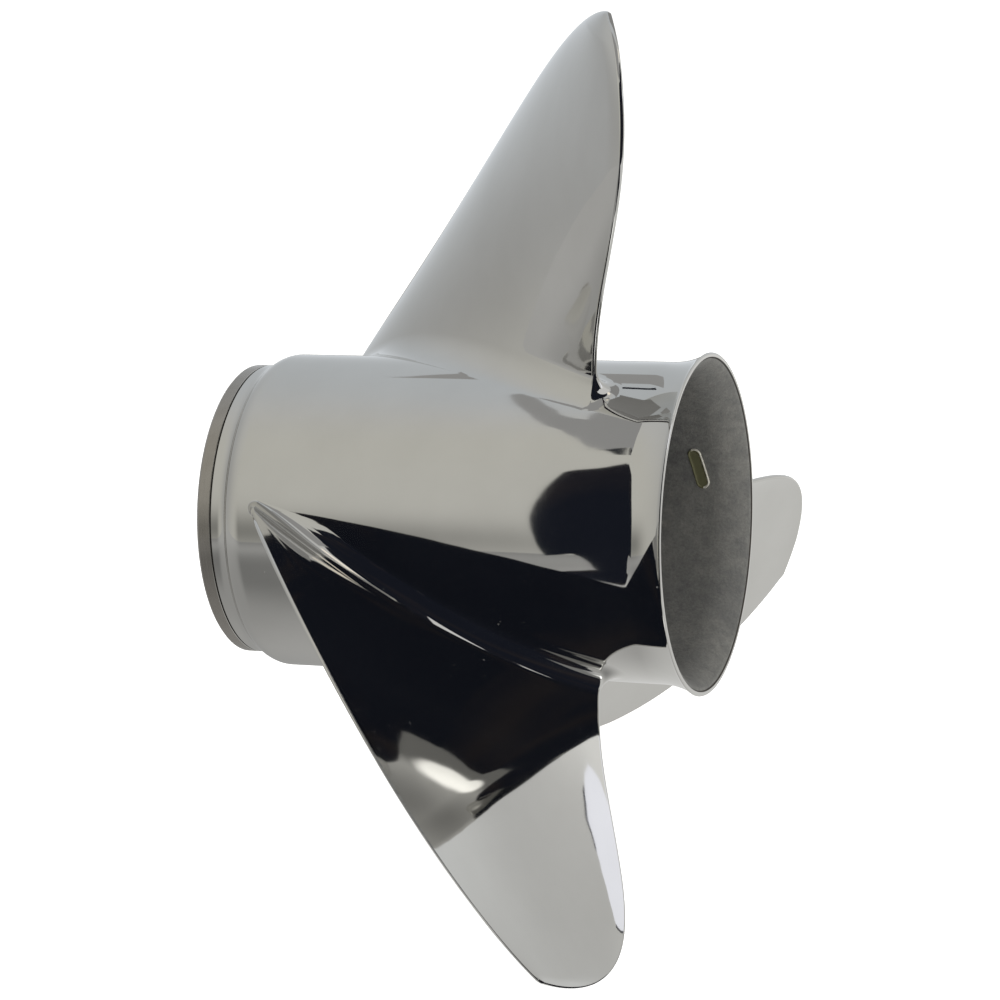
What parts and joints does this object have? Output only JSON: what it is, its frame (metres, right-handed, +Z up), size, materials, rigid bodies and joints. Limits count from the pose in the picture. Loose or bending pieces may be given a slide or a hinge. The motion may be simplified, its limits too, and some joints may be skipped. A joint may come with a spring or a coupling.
{
  "type": "boat propeller",
  "caption": "Right-hand through-hub-exhaust boat propeller with raked, cupped blades on a flared barrel and a rubber-cushioned splined drive hub.",
  "frame": {"origin": "on the shaft axis, in the plane where the splined sleeve seats on the thrust washer", "axes": "+X along the shaft axis towards the stern, +Z up with the first blade standing up and the other two reaching equally low"},
  "size_m": [0.156, 0.2942, 0.2723],
  "materials": {
    "polished_stainless": "mirror polished stainless steel",
    "cast_stainless": "matte blasted casting",
    "turned_stainless": "fine turned stainless steel",
    "spring_steel": "dark phosphated spring steel",
    "tag_metal": "tarnished bare tag",
    "bronze": "turned bronze",
    "brass": "machined brass",
    "rubber": "moulded black rubber",
    "nylon": "natural nylon"
  },
  "bodies": {
    "drive_core": {"splined_sleeve": "brass", "thrust_washer": "bronze", "rear_spacer": "turned_stainless", "tab_washer": "turned_stainless", "prop_nut": "turned_stainless", "nut_insert": "nylon"},
    "propeller": {"exhaust_barrel": "polished_stainless", "blade_1": "polished_stainless", "blade_2": "polished_stainless", "blade_3": "polished_stainless", "inner_hub": "cast_stainless", "rib_1": "cast_stainless", "rib_2": "cast_stainless", "rib_3": "cast_stainless", "bare_tag": "tag_metal", "cushion_shell": "bronze", "rubber_cushion": "rubber", "retaining_ring": "spring_steel"}
  },
  "joints": [
    {"name": "hub_twist", "type": "hinge", "parent": "drive_core", "child": "propeller", "pos_m": [0, 0, 0], "axis": [1, 0, 0], "range_deg": [-8, 8], "stiffness_Nm_per_rad": 1200}
  ]
}
